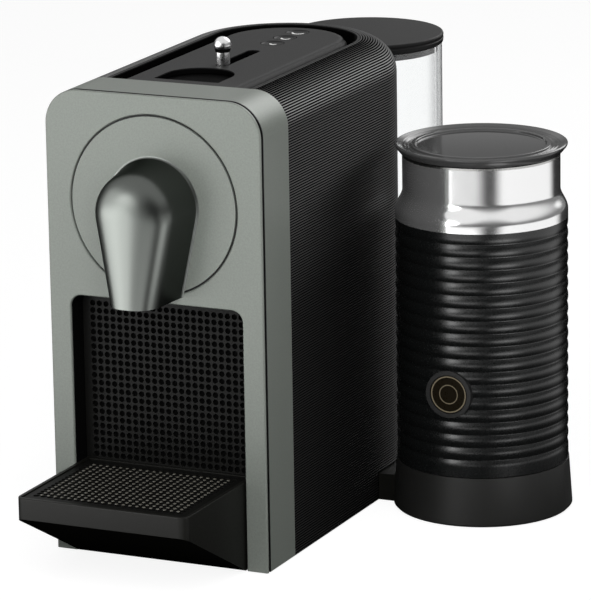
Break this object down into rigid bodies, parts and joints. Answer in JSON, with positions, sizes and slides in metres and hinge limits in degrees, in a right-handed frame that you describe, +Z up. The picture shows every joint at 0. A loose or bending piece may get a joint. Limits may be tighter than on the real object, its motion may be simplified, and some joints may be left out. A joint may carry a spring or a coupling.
{
  "type": "pod coffee machine",
  "caption": "Compact capsule coffee machine with arched painted front, protruding spout, sliding drip tray, swivelling clear water tank and a swivelling milk frother jug on its side.",
  "frame": {"origin": "on the floor, on the axis about which the tank arm and the frother arm swing", "axes": "+X to the right of a person in front of the machine, +Y to its rear, +Z up"},
  "size_m": [0.231, 0.3935, 0.2701],
  "materials": {
    "grey_paint": "satin metallic paint",
    "shell_black": "fine-ribbed satin",
    "deck_grey": "matt",
    "tray_black": "satin",
    "sleeve_black": "satin",
    "chrome": "polished",
    "button_brown": "gloss",
    "bezel_grey": "gloss",
    "steel": "turned",
    "alloy": "cast",
    "clear_plastic": "clear",
    "smoke_plastic": "smoky clear",
    "valve_white": "matt",
    "unit_plastic": "matt",
    "rubber": "matt",
    "board": "satin"
  },
  "bodies": {
    "machine": {"front_panel": "grey_paint", "panel_gasket": "rubber", "front_frame": "grey_paint", "bay_liner": "shell_black", "brew_head_disc": "grey_paint", "spout_housing": "grey_paint", "coffee_nozzle": "unit_plastic", "body_shell": "shell_black", "top_deck": "deck_grey", "button_board": "board", "tact_switches": "board", "base_plate": "shell_black", "rubber_feet": "rubber", "pivot_post": "unit_plastic", "base_screws": "steel", "chassis": "unit_plastic", "control_board": "board", "cord_gland": "shell_black", "pump": "steel", "pump_mounts": "rubber", "thermoblock": "alloy", "suction_hose": "rubber", "pressure_hose": "rubber", "brew_hose": "rubber", "brew_frame": "unit_plastic", "piercing_plate": "unit_plastic", "brew_motor": "steel"},
    "slider": {"slider_stem": "chrome", "slider_knob": "chrome", "capsule_shutter": "deck_grey"},
    "small_button": {"small_cup_button": "deck_grey"},
    "medium_button": {"medium_cup_button": "deck_grey"},
    "large_button": {"large_cup_button": "deck_grey"},
    "drawer": {"drip_tray": "tray_black", "bay_grille": "tray_black", "capsule_container": "tray_black"},
    "grid": {"drip_grid": "tray_black"},
    "cage": {"capsule_cage": "unit_plastic", "lead_screw": "steel"},
    "gear": {"drive_gear": "unit_plastic"},
    "pinion": {"motor_pinion": "steel"},
    "tank_swivel": {"tank_arm": "shell_black"},
    "tank": {"water_tank": "clear_plastic", "tank_valve": "valve_white"},
    "tank_cover": {"tank_lid": "shell_black"},
    "frother_swivel": {"frother_arm": "shell_black", "frother_base": "shell_black", "base_connector": "sleeve_black"},
    "jug": {"jug_bottom": "sleeve_black", "jug_sleeve": "sleeve_black", "jug_collar": "chrome", "inner_pot": "steel", "heater_plate": "alloy", "frother_motor": "steel", "button_bezel": "bezel_grey"},
    "magnet": {"drive_magnet": "steel"},
    "mixer": {"whisk": "steel"},
    "frother_key": {"frother_button": "button_brown"},
    "jug_cover": {"jug_lid": "smoke_plastic", "lid_seal": "rubber"}
  },
  "joints": [
    {"name": "slider_slide", "type": "slide", "parent": "machine", "child": "slider", "axis": [0, 1, 0], "range_m": [0, 0.038]},
    {"name": "small_button_press", "type": "slide", "parent": "machine", "child": "small_button", "axis": [0, 0, -1], "range_m": [0, 0.0015], "stiffness_N_per_m": 1200},
    {"name": "medium_button_press", "type": "slide", "parent": "machine", "child": "medium_button", "axis": [0, 0, -1], "range_m": [0, 0.0015], "stiffness_N_per_m": 1200},
    {"name": "large_button_press", "type": "slide", "parent": "machine", "child": "large_button", "axis": [0, 0, -1], "range_m": [0, 0.0015], "stiffness_N_per_m": 1200},
    {"name": "drawer_slide", "type": "slide", "parent": "machine", "child": "drawer", "axis": [0, -1, 0], "range_m": [0, 0.11]},
    {"name": "grid_lift", "type": "slide", "parent": "drawer", "child": "grid", "axis": [0, 0, 1], "range_m": [0, 0.06]},
    {"name": "cage_slide", "type": "slide", "parent": "machine", "child": "cage", "axis": [0, -1, 0], "range_m": [0, 0.033]},
    {"name": "gear_spin", "type": "hinge", "parent": "machine", "child": "gear", "pos_m": [0, -0.047, 0.196], "axis": [0, 1, 0], "range_deg": [0, 600]},
    {"name": "pinion_spin", "type": "hinge", "parent": "machine", "child": "pinion", "pos_m": [0, -0.047, 0.16965], "axis": [0, 1, 0], "range_deg": [-2000, 0]},
    {"name": "tank_swing", "type": "hinge", "parent": "machine", "child": "tank_swivel", "pos_m": [0, 0, 0], "axis": [0, 0, 1], "range_deg": [0, 90]},
    {"name": "tank_lift", "type": "slide", "parent": "tank_swivel", "child": "tank", "axis": [0, 0, 1], "range_m": [0, 0.1]},
    {"name": "tank_lid_lift", "type": "slide", "parent": "tank", "child": "tank_cover", "axis": [0, 0, 1], "range_m": [0, 0.04]},
    {"name": "frother_swing", "type": "hinge", "parent": "machine", "child": "frother_swivel", "pos_m": [0, 0, 0], "axis": [0, 0, 1], "range_deg": [0, 38]},
    {"name": "jug_lift", "type": "slide", "parent": "frother_swivel", "child": "jug", "axis": [0, 0, 1], "range_m": [0, 0.08]},
    {"name": "jug_lid_lift", "type": "slide", "parent": "jug", "child": "jug_cover", "axis": [0, 0, 1], "range_m": [0, 0.04]},
    {"name": "magnet_spin", "type": "hinge", "parent": "jug", "child": "magnet", "pos_m": [0.1184, 0, 0.05], "axis": [0, 0, 1], "continuous": true},
    {"name": "whisk_spin", "type": "hinge", "parent": "jug", "child": "mixer", "pos_m": [0.1184, 0, 0.07], "axis": [0, 0, 1], "continuous": true},
    {"name": "frother_button_press", "type": "slide", "parent": "jug", "child": "frother_key", "axis": [0, 1, 0], "range_m": [0, 0.001], "stiffness_N_per_m": 1500}
  ],
  "couplings": [
    {"joint": "gear_spin", "follows": "cage_slide", "rad_per_m": 314.16},
    {"joint": "pinion_spin", "follows": "cage_slide", "rad_per_m": -1047.2},
    {"joint": "whisk_spin", "follows": "magnet_spin", "ratio": 1}
  ]
}
